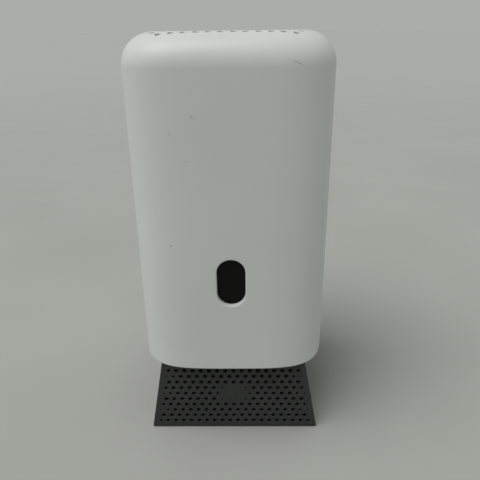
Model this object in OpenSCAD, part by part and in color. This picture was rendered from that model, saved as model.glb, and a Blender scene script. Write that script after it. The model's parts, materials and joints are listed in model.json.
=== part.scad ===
// Upright wireless router. A tall white shell with a rounded-square plan stands on a flared,
// perforated base, and holds a vertical circuit board with its heat sink, antennas and rear ports.
// The front faces -Y, the ports face +Y, and the origin is on the floor under the shell's middle.

/* [Shell] */
// Width and depth of the shell
shell_w = 112; // [112:1:120]
// Height of the whole router above the floor
total_h = 236; // [230:1:250]
// Height of the shell's bottom edge above the floor
shell_z = 50; // [49.6:0.1:50.4]
// Thickness of the shell's wall
shell_wall = 2.6; // [2.2:0.1:2.6]
// Squareness of the plan: 2 is a circle, and higher is squarer
squareness = 4.1; // [3.8:0.1:5]
// Radius of the rounded top edge
top_r = 16; // [12:1:17]
// Distance between the vent holes in the top
vent_pitch = 6; // [5.5:0.5:9]
// Distance between the rows of vent holes
vent_rise = 4.75; // [4.7:0.05:6]
// Diameter of a vent hole
vent_d = 3; // [2:0.5:3.5]

/* [Status window] */
// Width of the window
window_w = 15.4; // [12:0.2:16]
// Height of the window, with its round ends
window_h = 28; // [20:0.2:28.4]
// Height of the window's centre above the floor
window_z = 107.6; // [106:0.2:110]
// How far the window is set back from the front face
window_recess = 2.3; // [1:0.1:2.3]

/* [Base] */
// Width of the base at its foot
base_foot_w = 105.2; // [104:0.2:107]
// Width of the base at its top
base_top_w = 87.2; // [84:0.2:88]
// Depth of the base
base_depth = 100.4; // [99:0.2:101]
// Thickness of the base's walls
base_wall = 2; // [1.6:0.1:2]
// Distance between the perforations
perf_pitch = 5; // [5:0.5:8]
// Diameter of a full-sized perforation
perf_d = 2.6; // [1.6:0.1:2.8]

/* [Rear ports] */
// Width of the port strip that shows
strip_w = 36; // [34:1:38]
// Height of the port strip that shows
strip_h = 137; // [136:1:139]
// Width of a network socket's body, along the strip
jack_w = 16; // [15.5:0.1:16.5]
// Height of a network socket's body, away from the board
jack_h = 13.5; // [13:0.1:13.5]
// Depth of a network socket's body
jack_d = 21.5; // [20:0.5:22]

/* [Travels] */
// Travel of the power button
power_travel = 2; // [1:0.1:2.2]
// Travel of the pairing button
wps_travel = 0.8; // [0.4:0.1:1]
// Travel of the reset button
reset_travel = 0.6; // [0.4:0.1:0.8]

/* [Hidden] */
$fn = 48;

// Gap between two pieces that are fitted together without moving
fit_gap = 0.2;
// Gap round a piece that moves
run_gap = 0.35;
// How far a cutting tool runs past the face it cuts
past = 1;
// How far two shapes that are joined run into each other
lap = 0.01;

// Colours
white_plastic = [0.88, 0.89, 0.87];
grey_plastic = [0.2, 0.21, 0.22];
black_gloss = [0.03, 0.03, 0.035];
rubber_black = [0.08, 0.08, 0.08];
board_green = [0.05, 0.3, 0.16];
chip_black = [0.09, 0.09, 0.1];
bare_metal = [0.75, 0.76, 0.77];
jack_metal = [0.7, 0.7, 0.68];
gold = [0.85, 0.68, 0.3];
pad_blue = [0.45, 0.6, 0.75];
connector_cream = [0.9, 0.87, 0.78];
clear_plastic = [0.85, 0.9, 0.92];

// Shell
half_w = shell_w / 2;
inner_half = half_w - shell_wall;
plan_steps = 64;
fillet_steps = 6;
// The vents reach a little way down the rounded edge, and stop short of the corners
vent_half = half_w - top_r + 7;
// Shell floor
floor_t = 2.5;
floor_top = shell_z + floor_t;
floor_half = inner_half - fit_gap;
rim_t = 1.6;
rim_h = 4;
floor_boss_r = 3.2;
// Air slots through the floor, clear of the frame's foot
slot_x = concat([-36, -30], [for (x = [-6:6:34]) x]);
slot_y = 16;
slot_size = [3, 26];
// Base
skirt_z = 0.8;
plate_z = 1.4;
plate_t = 2;
flare = atan((base_foot_w - base_top_w) / 2 / (shell_z - skirt_z));
perf_first_row = 5.3;
perf_rows = 10;
perf_rise = perf_pitch * sqrt(3) / 2;
// Least distance of a row's outermost hole from the side, the distance at which it would have no
// size left, and how much further in it is full-sized
end_margin = 1.8;
end_none = 1.2;
end_fade = 3.8;
// Size of the second hole next to an outermost one of no size, and how it grows with that one
second_share = 0.4;
second_gain = 0.8;
// How far a hole of no size would be drawn in from its place
end_pull = 1.5;
// Smaller holes than this share of full size are left out
least_share = 0.2;
// The plain oval in the middle of the front
oval_z = perf_first_row + 5 * perf_rise;
oval_a = 8.6;
oval_b = 6.2;
foot_r = 6;
foot_inset = 0.6;
foot_x = 40;
foot_y = 39;
tab_x = 20;
tab_y = 42;
tab_t = 2;
tab_half = 6;
// Air slots through the plate, in two columns
plate_slot_x = 15;
plate_slot_y = [-30:6:30];
plate_slot_size = [24, 2.6];
post_r = 4;
// Depth from the top of a post to the shoulder that its screw's head bears on
shoulder = 5;
// Screws
screw_r = 1.45;
screw_hole_r = 1.55;
head_r = 2.7;
head_h = 1.5;
// Rear strip
panel_t = 2.2;
panel_out = inner_half - 0.5;
panel_in = panel_out - panel_t;
panel_lip = 3;
strip_z = 131;
slot_corner_r = 3;
// Heights of what sits in the strip, from the top
power_z = 190;
dc_z = 174;
jack_z = [153, 134, 115, 96];
wps_z = 80;
reset_z = 70;
// Hollow of a network socket, then the two steps of the groove for the plug's latch, which is on
// the board's side. Each is its two limits in X and its half width
jack_cuts = [[-2.8, 5, 5.95], [-4.5, -2.7, 3.2], [-5.6, -4.4, 1.7]];
cut_depth = 14;
contact_x = [3.8, 5];
contact_pitch = 1.02;
contact_w = 0.4;
contact_setback = 3;
// Power inlet: a round nose in the panel, and a block behind it
dc_r = 4.6;
dc_nose = 6;
dc_bore_r = 3.1;
dc_depth = 10;
dc_block = [5, 15];
dc_block_half = 5.5;
dc_pin_r = 1;
dc_pin_setback = 1;
// Buttons: radius, how proud of the panel they are, and their stems
power_r = 4.5;
power_proud = 2.4;
power_collar = 1;
power_stem_r = 1.8;
power_stem_end = 39;
wps_r = 3.2;
wps_proud = 1.4;
wps_collar = 0.8;
wps_stem_r = 1.2;
wps_stem_end = 44;
reset_r = 1.5;
reset_end = 44;
pinhole_r = 1;
reset_gap = 0.6;
collar_t = 1.6;
collar_gap = 0.4;
// Switches: half size, and their limits in Y
power_switch_half = 5.2;
power_switch_y = [30, 44];
small_switch_half = 3;
wps_switch_y = [38, 46.5];
reset_switch_y = [38, 47];
// How much deeper a switch's hole is than its button's travel needs
travel_gap = 1;
// Board
board_t = 1.6;
board_in = -jack_h / 2;
board_out = board_in - board_t;
board_y = [-38, 50];
board_z = [62, 208];
board_hole_y = [-33, 25];
board_hole_z = [68, 202];
// Frame
standoff_h = 4;
frame_t = 1.8;
frame_in = board_out - standoff_h;
frame_out = frame_in - frame_t;
frame_foot_w = 12;
frame_foot_t = 2.5;
frame_foot_y = 32;
frame_screw_places = [for (y = [-28, 0, 28]) [-20, y]];
standoff_r = 3.4;
// Openings that let air through the frame
frame_gap_y = [-28:12:44];
frame_gap_z = [96, 146];
frame_gap_size = [5, 36];
// Wall across the front of the frame, behind the status light
cross_x = 14;
cross_z = [90, 128];
// Chips and heat sink
chip_t = 1.5;
pad_t = 1;
sink_x = board_in + chip_t + pad_t;
sink_t = 3;
sink_y = [-36, 21];
sink_z = [92, 192];
fin_h = 16;
fin_t = 1.4;
fin_count = 9;
fin_pitch = 5.3;
fin_first_y = -29.2;
sink_hole_y = [-33, 17.6];
sink_hole_z = [98, 186];
can_y = [-20, 10];
can_z = [78, 118, 158];
can_size = 31;
can_h = 2.4;
can_t = 0.4;
chip_places = [[-9, 150, 24], [-9, 118, 18], [-12, 176, 16]];
// Status light
window_y = -half_w + window_recess;
window_flange_y = -inner_half + fit_gap;
window_flange_t = 1.5;
window_lip = 2;
guide_y = window_flange_y + window_flange_t;
guide_w = 10;
guide_h = 22;
led_y = -45;
led_t = 1.2;
led_size = 3;
led_offsets = [-7, 0, 7];
led_board_y = led_y + led_t;
led_board_t = 1.3;
led_board_w = 18;
led_board_h = 32;
// Ribbon from the lamps' board, which hangs between its two heights, to its socket
ribbon_x = [-6, -1];
ribbon_t = 0.4;
ribbon_z = [83.6, 96];
ribbon_socket = [[-36, 80], [-31, 87]];
cross_y = led_board_y + led_board_t;
// Antennas
antenna_radius = 53.6;
antenna_post_t = 3;
antenna_t = 0.8;
antenna_w = 12;
antenna_z = [80, 168];
antenna_angles = [225, 315, 135, 45];
antenna_post_top = 160;
antenna_post_half = 5;
antenna_foot = 12;
antenna_screw_r = antenna_radius - 8;
// Antenna leads: the height where they leave the antennas, and the board sockets they go to,
// each as the side of the board that it is on, then Y and Z
lead_r = 0.6;
lead_z = 84;
lead_side = 5.7;
lead_inset = 12;
lead_bend_x = 20;
socket_h = 1.4;
socket_w = 3;
lead_places = [[-1, -28, 96], [1, -22, 72], [-1, 20, 96], [1, 15, 72]];

// Signed power, for the rounded-square outline
function bent(value, power) = sign(value) * pow(abs(value), power);

// Points of the rounded-square plan, out to half
function plan(half) = [
    for (i = [0:plan_steps - 1])
        let (a = 360 * i / plan_steps)
            [half * bent(cos(a), 2 / squareness), half * bent(sin(a), 2 / squareness)]
];

// Centres of a staggered lattice over a square of that half width
function lattice(pitch, rise, half) =
    let (cols = ceil(half / pitch), rows = ceil(half / rise))
        [for (j = [-rows:rows], i = [-cols:cols]) [pitch * (i + abs(j % 2) / 2), rise * j]];

// Is a point inside the plan of that half width?
function in_plan(p, half) = pow(abs(p[0]) / half, squareness) + pow(abs(p[1]) / half, squareness) < 1;

// Half of the base's width at a height
function base_half(z) = base_foot_w / 2 - (z - skirt_z) * tan(flare);

// A share between 0 and 1
function share(value) = min(1, max(0, value));

// Distance of a row's outermost hole from the middle, where stagger is the row's offset in pitches
function last_hole(half, stagger) =
    perf_pitch * (floor((half - end_margin) / perf_pitch - stagger) + stagger);

// Share of full size that a perforation has, from its place along its row
function end_share(x, half, stagger) =
    let (
        last = last_hole(half, stagger),
        outermost = share((half - last - end_none) / end_fade),
        second = share(second_share + second_gain * outermost),
        order = round((last - abs(x)) / perf_pitch)
    )
        order < 0 ? 0 : order == 0 ? outermost : order == 1 ? second : 1;

// Share of full size that a perforation has, from how close it is to the plain oval
function oval_share(x, z) = share((norm([x / oval_a, (z - oval_z) / oval_b]) - 1) * 4);

// A block between two corners
module block(low, high) {
    translate(low) cube(high - low);
}

// A straight round rod between two points
module rod(start, end, r) {
    run = end - start;
    length = norm(run);
    translate(start)
        rotate([0, acos(run[2] / length), atan2(run[1], run[0])])
            cylinder(r = r, h = length);
}

// An upright outline with round ends
module pill(w, h) {
    square([w, h - w], center = true);
    for (side = [-1, 1])
        translate([0, side * (h - w) / 2]) circle(d = w);
}

// A rectangle with rounded corners
module soft_rectangle(w, h, r) {
    square([w - 2 * r, h], center = true);
    square([w, h - 2 * r], center = true);
    for (x = [-1, 1], y = [-1, 1])
        translate([x * (w / 2 - r), y * (h / 2 - r)]) circle(r = r);
}

// Turns a drawing in X and Y into a plate that stands in X and Z, from y = start towards +Y
module upright(start, thickness) {
    translate([0, start + thickness, 0]) rotate([90, 0, 0]) linear_extrude(thickness) children();
}

// A prism with the rounded-square plan and a rounded top edge
module domed_prism(half, low, high, r) {
    rings = concat(
        [[half, low]],
        [for (i = [0:fillet_steps])
            let (a = 90 * i / fillet_steps) [half - r * (1 - cos(a)), high - r * (1 - sin(a))]]
    );
    points = [for (ring = rings, p = plan(ring[0])) [p[0], p[1], ring[1]]];
    last = (len(rings) - 1) * plan_steps;
    sides = [for (k = [0:len(rings) - 2], i = [0:plan_steps - 1])
        let (here = k * plan_steps, next = here + plan_steps, j = (i + 1) % plan_steps)
            [here + i, next + i, next + j, here + j]];
    caps = [
        [for (i = [0:plan_steps - 1]) i],
        [for (i = [plan_steps - 1:-1:0]) last + i]
    ];
    polyhedron(points, concat(sides, caps));
}

// A pan-head screw along +Z, with its head below z = 0
module screw(length) {
    translate([0, 0, -head_h]) cylinder(r = head_r, h = head_h);
    translate([0, 0, -lap]) cylinder(r = screw_r, h = length);
}

// A hole along +Z for a screw
module screw_hole(start, depth) {
    translate(start) cylinder(r = screw_hole_r, h = depth);
}

// One moulded skin, open below, with the window's hole, the slot for the rear strip and the top vents
module outer_shell() {
    color(white_plastic)
        difference() {
            domed_prism(half_w, shell_z, total_h, top_r);
            domed_prism(inner_half, shell_z - past, total_h - shell_wall, top_r - shell_wall);
            upright(-half_w - past, shell_wall + 2 * past)
                translate([0, window_z]) pill(window_w + 2 * fit_gap, window_h + 2 * fit_gap);
            upright(inner_half - past, shell_wall + 2 * past)
                translate([0, strip_z]) soft_rectangle(strip_w, strip_h, slot_corner_r);
            for (p = lattice(vent_pitch, vent_rise, vent_half))
                if (in_plan(p, vent_half))
                    translate([p[0], p[1], total_h - top_r])
                        cylinder(d = vent_d, h = 2 * top_r);
        }
}

module front_window() {
    color(black_gloss) {
        upright(window_y, window_flange_y - window_y + lap)
            translate([0, window_z]) pill(window_w, window_h);
        upright(window_flange_y, window_flange_t)
            translate([0, window_z]) pill(window_w + 2 * window_lip, window_h + 2 * window_lip);
    }
}

// Closes the shell from below, and lets air up through its slots
module shell_floor() {
    color(grey_plastic)
        difference() {
            union() {
                translate([0, 0, shell_z]) linear_extrude(floor_t) polygon(plan(floor_half));
                translate([0, 0, floor_top - lap])
                    linear_extrude(rim_h)
                        difference() {
                            polygon(plan(floor_half));
                            polygon(plan(floor_half - rim_t));
                        }
                for (x = [-tab_x, tab_x], y = [-tab_y, tab_y])
                    translate([x, y, floor_top - lap]) cylinder(r = floor_boss_r, h = rim_h);
            }
            for (x = slot_x, y = [-slot_y, slot_y])
                translate([x, y, shell_z + floor_t / 2])
                    cube([slot_size[0], slot_size[1], 2 * floor_t], center = true);
            for (x = [-tab_x, tab_x], y = [-tab_y, tab_y])
                screw_hole([x, y, shell_z - past], floor_t + rim_h);
            for (place = frame_screw_places)
                screw_hole([place[0], place[1], shell_z - past], 2 * floor_t);
            for (a = antenna_angles)
                rotate(a) screw_hole([antenna_screw_r, 0, shell_z - past], 2 * floor_t);
        }
}

// Perforations of one upright panel of the base, drawn in X and Z
module perforations(half_at_foot, lean, with_oval) {
    for (row = [0:perf_rows - 1])
        let (
            z = perf_first_row + row * perf_rise,
            half = half_at_foot - z * tan(lean),
            stagger = ((row + 1) % 2) / 2
        )
            for (i = [-ceil(half / perf_pitch):ceil(half / perf_pitch)])
                let (
                    x = perf_pitch * (i + stagger),
                    end = end_share(x, half, stagger),
                    size = min(end, with_oval ? oval_share(x, z) : 1)
                )
                    if (size > least_share)
                        translate([x - sign(x) * end_pull * (1 - end), z])
                            circle(d = perf_d * size, $fn = 16);
}

// The front or rear wall of the base, drawn in X and Z
module base_end(with_oval) {
    difference() {
        polygon([
            [-base_half(skirt_z), skirt_z], [base_half(skirt_z), skirt_z],
            [base_half(shell_z), shell_z], [-base_half(shell_z), shell_z]
        ]);
        perforations(base_foot_w / 2, flare, with_oval);
    }
}

// A side wall of the base, drawn in Y and along its slope
module base_side() {
    slope = (shell_z - skirt_z) / cos(flare);
    difference() {
        translate([-base_depth / 2 + 0.5, 0.4]) square([base_depth - 1, slope - 0.4]);
        perforations(base_depth / 2 - base_wall, 0, false);
    }
}

module base_skirt() {
    color(grey_plastic)
        difference() {
            union() {
                upright(-base_depth / 2, base_wall) base_end(true);
                upright(base_depth / 2 - base_wall, base_wall) base_end(false);
                for (side = [0, 1])
                    mirror([side, 0, 0])
                        translate([base_foot_w / 2, 0, skirt_z])
                            rotate([0, -flare, 0])
                                rotate([90, 0, 90])
                                    translate([0, 0, -base_wall]) linear_extrude(base_wall) base_side();
                for (x = [-tab_x, tab_x], end = [0, 1])
                    mirror([0, end, 0])
                        block(
                            [x - tab_half, tab_y - tab_half, shell_z - tab_t],
                            [x + tab_half, base_depth / 2 - base_wall / 2, shell_z]
                        );
            }
            for (x = [-tab_x, tab_x], y = [-tab_y, tab_y])
                screw_hole([x, y, shell_z - tab_t - past], tab_t + 2 * past);
        }
}

// Underside of the base, with four hollow posts that take the long screws up to the shell's floor
module base_plate() {
    half_x = base_half(plate_z + plate_t) - base_wall / cos(flare) - fit_gap;
    half_y = base_depth / 2 - base_wall - fit_gap;
    post_top = shell_z - tab_t;
    color(grey_plastic)
        difference() {
            union() {
                block([-half_x, -half_y, plate_z], [half_x, half_y, plate_z + plate_t]);
                for (x = [-tab_x, tab_x], y = [-tab_y, tab_y])
                    translate([x, y, plate_z + past]) cylinder(r = post_r, h = post_top - plate_z - past);
            }
            for (x = [-foot_x, foot_x], y = [-foot_y, foot_y])
                translate([x, y, 0]) cylinder(r = foot_r + fit_gap / 2, h = plate_z + foot_inset);
            for (x = [-tab_x, tab_x], y = [-tab_y, tab_y]) {
                translate([x, y, 0]) cylinder(r = head_r + fit_gap, h = post_top - shoulder);
                screw_hole([x, y, plate_z], post_top);
            }
            for (x = [-plate_slot_x, plate_slot_x], y = plate_slot_y)
                translate([x, y, plate_z + plate_t / 2])
                    cube([plate_slot_size[0], plate_slot_size[1], 2 * plate_t], center = true);
        }
}

module rubber_feet() {
    color(rubber_black)
        for (x = [-foot_x, foot_x], y = [-foot_y, foot_y])
            translate([x, y, 0]) cylinder(r = foot_r, h = plate_z + foot_inset);
}

// The strip that shows in the shell's rear slot, with a lip behind the shell's wall
module io_panel() {
    color(grey_plastic)
        upright(panel_in, panel_t)
            difference() {
                translate([0, strip_z])
                    square([strip_w + 2 * panel_lip, strip_h + 2 * panel_lip], center = true);
                for (z = jack_z)
                    translate([0, z]) square([jack_h + 2 * fit_gap, jack_w + 2 * fit_gap], center = true);
                translate([0, dc_z]) circle(r = dc_r + fit_gap);
                translate([0, power_z]) circle(r = power_r + run_gap);
                translate([0, wps_z]) circle(r = wps_r + run_gap);
                translate([0, reset_z]) circle(r = pinhole_r);
            }
}

// A network socket whose mouth faces +Y and whose board is on its -X side
module network_jack(z) {
    color(jack_metal)
        translate([0, panel_out, z])
            difference() {
                block([-jack_h / 2, -jack_d, -jack_w / 2], [jack_h / 2, 0, jack_w / 2]);
                for (cut = jack_cuts)
                    block([cut[0], -cut_depth, -cut[2]], [cut[1], past, cut[2]]);
            }
}

module wan_jack() {
    network_jack(jack_z[0]);
}

module lan_jack_1() {
    network_jack(jack_z[1]);
}

module lan_jack_2() {
    network_jack(jack_z[2]);
}

module lan_jack_3() {
    network_jack(jack_z[3]);
}

// Eight spring contacts along the wall of each socket
module jack_contacts() {
    color(gold)
        for (z = jack_z, i = [-3.5:1:3.5])
            translate([0, panel_out, z + i * contact_pitch])
                block(
                    [contact_x[0], fit_gap / 2 - cut_depth, -contact_w / 2],
                    [contact_x[1], -contact_setback, contact_w / 2]
                );
}

module dc_jack() {
    color(black_gloss)
        difference() {
            union() {
                translate([0, panel_out, dc_z]) rotate([90, 0, 0]) cylinder(r = dc_r, h = dc_nose);
                block(
                    [-jack_h / 2, panel_out - dc_block[1], dc_z - dc_block_half],
                    [dc_block_half, panel_out - dc_block[0], dc_z + dc_block_half]
                );
            }
            translate([0, panel_out + past, dc_z])
                rotate([90, 0, 0]) cylinder(r = dc_bore_r, h = dc_depth + past);
        }
}

module dc_pin() {
    color(bare_metal)
        translate([0, panel_out - dc_pin_setback, dc_z])
            rotate([90, 0, 0]) cylinder(r = dc_pin_r, h = dc_depth - dc_pin_setback);
}

// A push button along Y: a cap through the panel, a collar behind it and a stem into its switch
module push_button(z, r, proud, collar, stem_r, stem_end) {
    collar_y = panel_in - collar_gap - collar_t;
    translate([0, 0, z])
        rotate([-90, 0, 0]) {
            translate([0, 0, collar_y]) cylinder(r = r, h = panel_out + proud - collar_y);
            translate([0, 0, collar_y]) cylinder(r = r + collar, h = collar_t);
            translate([0, 0, stem_end]) cylinder(r = stem_r, h = collar_y - stem_end + lap);
        }
}

// A switch on the board with a blind hole that takes a button's stem
module push_switch(z, half, limits, stem_r, stem_end, travel) {
    difference() {
        block([board_in, limits[0], z - half], [half, limits[1], z + half]);
        translate([0, stem_end - travel - travel_gap, z])
            rotate([-90, 0, 0]) cylinder(r = stem_r + run_gap, h = limits[1]);
    }
}

module power_button() {
    color(white_plastic)
        push_button(power_z, power_r, power_proud, power_collar, power_stem_r, power_stem_end);
}

module power_switch() {
    color(chip_black)
        push_switch(
            power_z, power_switch_half, power_switch_y, power_stem_r, power_stem_end, power_travel
        );
}

module wps_button() {
    color(white_plastic)
        push_button(wps_z, wps_r, wps_proud, wps_collar, wps_stem_r, wps_stem_end);
}

module wps_switch() {
    color(chip_black)
        push_switch(wps_z, small_switch_half, wps_switch_y, wps_stem_r, wps_stem_end, wps_travel);
}

// The reset button is a plunger behind a pinhole, out of a finger's reach
module reset_button() {
    color(black_gloss)
        rod([0, reset_end, reset_z], [0, panel_in - reset_gap, reset_z], reset_r);
}

module reset_switch() {
    color(chip_black)
        push_switch(reset_z, small_switch_half, reset_switch_y, reset_r, reset_end, reset_travel);
}

// Upright plate that carries the board, with its foot on the shell's floor
module inner_frame() {
    color(white_plastic)
        difference() {
            union() {
                block([frame_out, board_y[0], floor_top], [frame_in, board_y[1], board_z[1]]);
                block(
                    [frame_out - frame_foot_w, -frame_foot_y, floor_top],
                    [frame_in, frame_foot_y, floor_top + frame_foot_t]
                );
                block([frame_out, cross_y, cross_z[0]], [cross_x, cross_y + frame_t, cross_z[1]]);
                block([frame_out, cross_y, cross_z[0]], [frame_in, board_y[0] + past, cross_z[1]]);
                for (y = board_hole_y, z = board_hole_z)
                    rod([frame_in - lap, y, z], [board_out, y, z], standoff_r);
            }
            for (y = frame_gap_y, z = frame_gap_z)
                translate([frame_out + frame_t / 2, y, z])
                    cube([3 * frame_t, frame_gap_size[0], frame_gap_size[1]], center = true);
            for (y = board_hole_y, z = board_hole_z)
                rod([frame_out - past, y, z], [board_out + past, y, z], screw_hole_r);
            for (place = frame_screw_places)
                screw_hole([place[0], place[1], floor_top - past], frame_foot_t + 2 * past);
        }
}

module main_board() {
    color(board_green)
        difference() {
            block([board_out, board_y[0], board_z[0]], [board_in, board_y[1], board_z[1]]);
            for (y = board_hole_y, z = board_hole_z)
                rod([board_out - past, y, z], [board_in + past, y, z], screw_hole_r);
            for (y = sink_hole_y, z = sink_hole_z)
                rod([board_out - past, y, z], [board_in + past, y, z], screw_hole_r);
        }
}

// Square packages on the board, each given as its centre in Y and Z and its size
module packages(low, high, inset) {
    for (place = chip_places)
        let (h = place[2] / 2 - inset)
            block([low, place[0] - h, place[1] - h], [high, place[0] + h, place[1] + h]);
}

module chips() {
    color(chip_black) packages(board_in, board_in + chip_t, 0);
}

module thermal_pads() {
    color(pad_blue) packages(board_in + chip_t, sink_x, 1);
}

module heat_sink() {
    color(bare_metal)
        difference() {
            union() {
                block([sink_x, sink_y[0], sink_z[0]], [sink_x + sink_t, sink_y[1], sink_z[1]]);
                for (i = [0:fin_count - 1])
                    let (x = sink_x + sink_t, y = fin_first_y + i * fin_pitch)
                        block([x - lap, y, sink_z[0]], [x + fin_h, y + fin_t, sink_z[1]]);
            }
            for (y = sink_hole_y, z = sink_hole_z)
                rod([sink_x - past, y, z], [sink_x + sink_t + past, y, z], screw_hole_r);
        }
}

// Thin metal cans over the radio circuits, on the board's far side
module shield_cans() {
    color(jack_metal)
        for (z = can_z)
            difference() {
                block([board_out - can_h, can_y[0], z], [board_out, can_y[1], z + can_size]);
                block(
                    [board_out - can_h + can_t, can_y[0] + can_t, z + can_t],
                    [board_out + past, can_y[1] - can_t, z + can_size - can_t]
                );
            }
}

// The status light's ribbon socket and the four antenna sockets
module board_connectors() {
    color(connector_cream) {
        block(
            [board_in, ribbon_socket[0][0], ribbon_socket[0][1]],
            [0, ribbon_socket[1][0], ribbon_socket[1][1]]
        );
        for (place = lead_places)
            let (face = place[0] > 0 ? board_in : board_out - socket_h, h = socket_w / 2)
                block([face, place[1] - h, place[2] - h], [face + socket_h, place[1] + h, place[2] + h]);
    }
}

module led_board() {
    color(board_green)
        upright(led_board_y, led_board_t)
            translate([0, window_z]) square([led_board_w, led_board_h], center = true);
}

module status_leds() {
    color(connector_cream)
        upright(led_y, led_t)
            for (z = led_offsets)
                translate([0, window_z + z]) square([led_size, led_size], center = true);
}

module light_guide() {
    color(clear_plastic)
        upright(guide_y, led_y - guide_y) translate([0, window_z]) pill(guide_w, guide_h);
}

module led_ribbon() {
    back = led_board_y - ribbon_t;
    turn = ribbon_z[0] + ribbon_t;
    socket_y = ribbon_socket[0][0];
    color(connector_cream)
        translate([ribbon_x[0], 0, 0])
            rotate([90, 0, 90])
                linear_extrude(ribbon_x[1] - ribbon_x[0])
                    polygon([
                        [back, ribbon_z[1]], [led_board_y, ribbon_z[1]], [led_board_y, turn],
                        [socket_y, turn], [socket_y, ribbon_z[0]], [back, ribbon_z[0]]
                    ]);
}

module antenna_posts() {
    color(white_plastic)
        for (a = antenna_angles)
            rotate(a)
                difference() {
                    translate([antenna_radius, 0, 0]) {
                        block(
                            [-antenna_post_t, -antenna_post_half, floor_top],
                            [0, antenna_post_half, antenna_post_top]
                        );
                        block(
                            [-antenna_foot, -antenna_post_half, floor_top],
                            [0, antenna_post_half, floor_top + frame_foot_t]
                        );
                    }
                    screw_hole([antenna_screw_r, 0, floor_top - past], frame_foot_t + 2 * past);
                }
}

// A flat antenna board on the outer face of its post
module antenna(a) {
    x = antenna_radius;
    half = antenna_w / 2;
    color(board_green)
        rotate(a) block([x, -half, antenna_z[0]], [x + antenna_t, half, antenna_z[1]]);
}

module antenna_front_left() {
    antenna(antenna_angles[0]);
}

module antenna_front_right() {
    antenna(antenna_angles[1]);
}

module antenna_rear_left() {
    antenna(antenna_angles[2]);
}

module antenna_rear_right() {
    antenna(antenna_angles[3]);
}

// A point turned about the Z axis
function turned(a, p) = [p[0] * cos(a) - p[1] * sin(a), p[0] * sin(a) + p[1] * cos(a), p[2]];

// Thin coaxial leads, from the foot of each antenna past its post and then to the board
module antenna_leads() {
    color(rubber_black)
        for (k = [0:3]) {
            a = antenna_angles[k];
            place = lead_places[k];
            face = place[0] > 0 ? board_in + socket_h + lead_r : board_out - socket_h - lead_r;
            points = [
                turned(a, [antenna_radius - lead_r, lead_side, lead_z]),
                turned(a, [antenna_radius - lead_inset, lead_side, lead_z]),
                [place[0] * lead_bend_x, place[1], place[2]],
                [face, place[1], place[2]]
            ];
            for (i = [0:2])
                hull()
                    for (p = [points[i], points[i + 1]])
                        translate(p) sphere(r = lead_r, $fn = 8);
        }
}

// Screws along -X, with their heads on the face at x
module side_screws(x, places_y, places_z, length) {
    for (y = places_y, z = places_z)
        translate([x, y, z]) rotate([0, -90, 0]) screw(length);
}

module board_screws() {
    color(bare_metal) side_screws(board_in, board_hole_y, board_hole_z, board_t + standoff_h);
}

module heat_sink_screws() {
    color(bare_metal)
        side_screws(sink_x + sink_t, sink_hole_y, sink_hole_z, sink_x + sink_t - board_out);
}

module frame_screws() {
    color(bare_metal)
        for (place = frame_screw_places)
            translate([place[0], place[1], shell_z]) screw(floor_t + frame_foot_t);
}

module post_screws() {
    color(bare_metal)
        for (a = antenna_angles)
            rotate(a) translate([antenna_screw_r, 0, shell_z]) screw(floor_t + frame_foot_t);
}

// Long screws from inside the base's posts up into the bosses on the shell's floor
module base_screws() {
    color(bare_metal)
        for (x = [-tab_x, tab_x], y = [-tab_y, tab_y])
            translate([x, y, shell_z - tab_t - shoulder]) screw(shoulder + tab_t + floor_t + rim_h - past);
}

outer_shell();
front_window();
shell_floor();
base_skirt();
base_plate();
rubber_feet();
io_panel();
wan_jack();
lan_jack_1();
lan_jack_2();
lan_jack_3();
jack_contacts();
dc_jack();
dc_pin();
power_button();
power_switch();
wps_button();
wps_switch();
reset_button();
reset_switch();
inner_frame();
main_board();
chips();
thermal_pads();
heat_sink();
shield_cans();
board_connectors();
led_board();
status_leds();
light_guide();
led_ribbon();
antenna_posts();
antenna_front_left();
antenna_front_right();
antenna_rear_left();
antenna_rear_right();
antenna_leads();
board_screws();
heat_sink_screws();
frame_screws();
post_screws();
base_screws();
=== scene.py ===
"""Upright wireless router: a white rounded-square shell on a dark, flared and perforated base."""

import json
import math

import bmesh
import bpy
from mathutils import Matrix, Vector
from mathutils.geometry import delaunay_2d_cdt


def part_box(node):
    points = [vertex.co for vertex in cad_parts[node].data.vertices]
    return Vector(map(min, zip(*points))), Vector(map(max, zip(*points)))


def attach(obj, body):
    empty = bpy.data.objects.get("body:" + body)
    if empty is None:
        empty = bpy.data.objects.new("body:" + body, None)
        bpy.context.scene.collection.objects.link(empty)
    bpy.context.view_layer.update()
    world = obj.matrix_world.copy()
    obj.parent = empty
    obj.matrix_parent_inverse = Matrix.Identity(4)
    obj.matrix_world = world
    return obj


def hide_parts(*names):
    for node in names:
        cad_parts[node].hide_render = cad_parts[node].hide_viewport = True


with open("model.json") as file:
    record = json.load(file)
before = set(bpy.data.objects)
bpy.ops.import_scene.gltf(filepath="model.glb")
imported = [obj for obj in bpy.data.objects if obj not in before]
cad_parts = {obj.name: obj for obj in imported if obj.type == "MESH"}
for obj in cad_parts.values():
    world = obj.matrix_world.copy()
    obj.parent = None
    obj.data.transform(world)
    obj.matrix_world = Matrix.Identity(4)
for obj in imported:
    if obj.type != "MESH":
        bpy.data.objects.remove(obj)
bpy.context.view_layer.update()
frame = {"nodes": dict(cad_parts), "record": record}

MM = 0.001

# -------------------- sizes taken from the frame
SHELL_LOW, SHELL_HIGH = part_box("outer_shell")
BASE_LOW, BASE_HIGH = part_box("base_skirt")
WINDOW_LOW, WINDOW_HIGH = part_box("front_window")
PANEL_LOW, PANEL_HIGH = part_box("io_panel")
HALF = SHELL_HIGH.x
TOP = SHELL_HIGH.z
BOTTOM = SHELL_LOW.z

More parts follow.
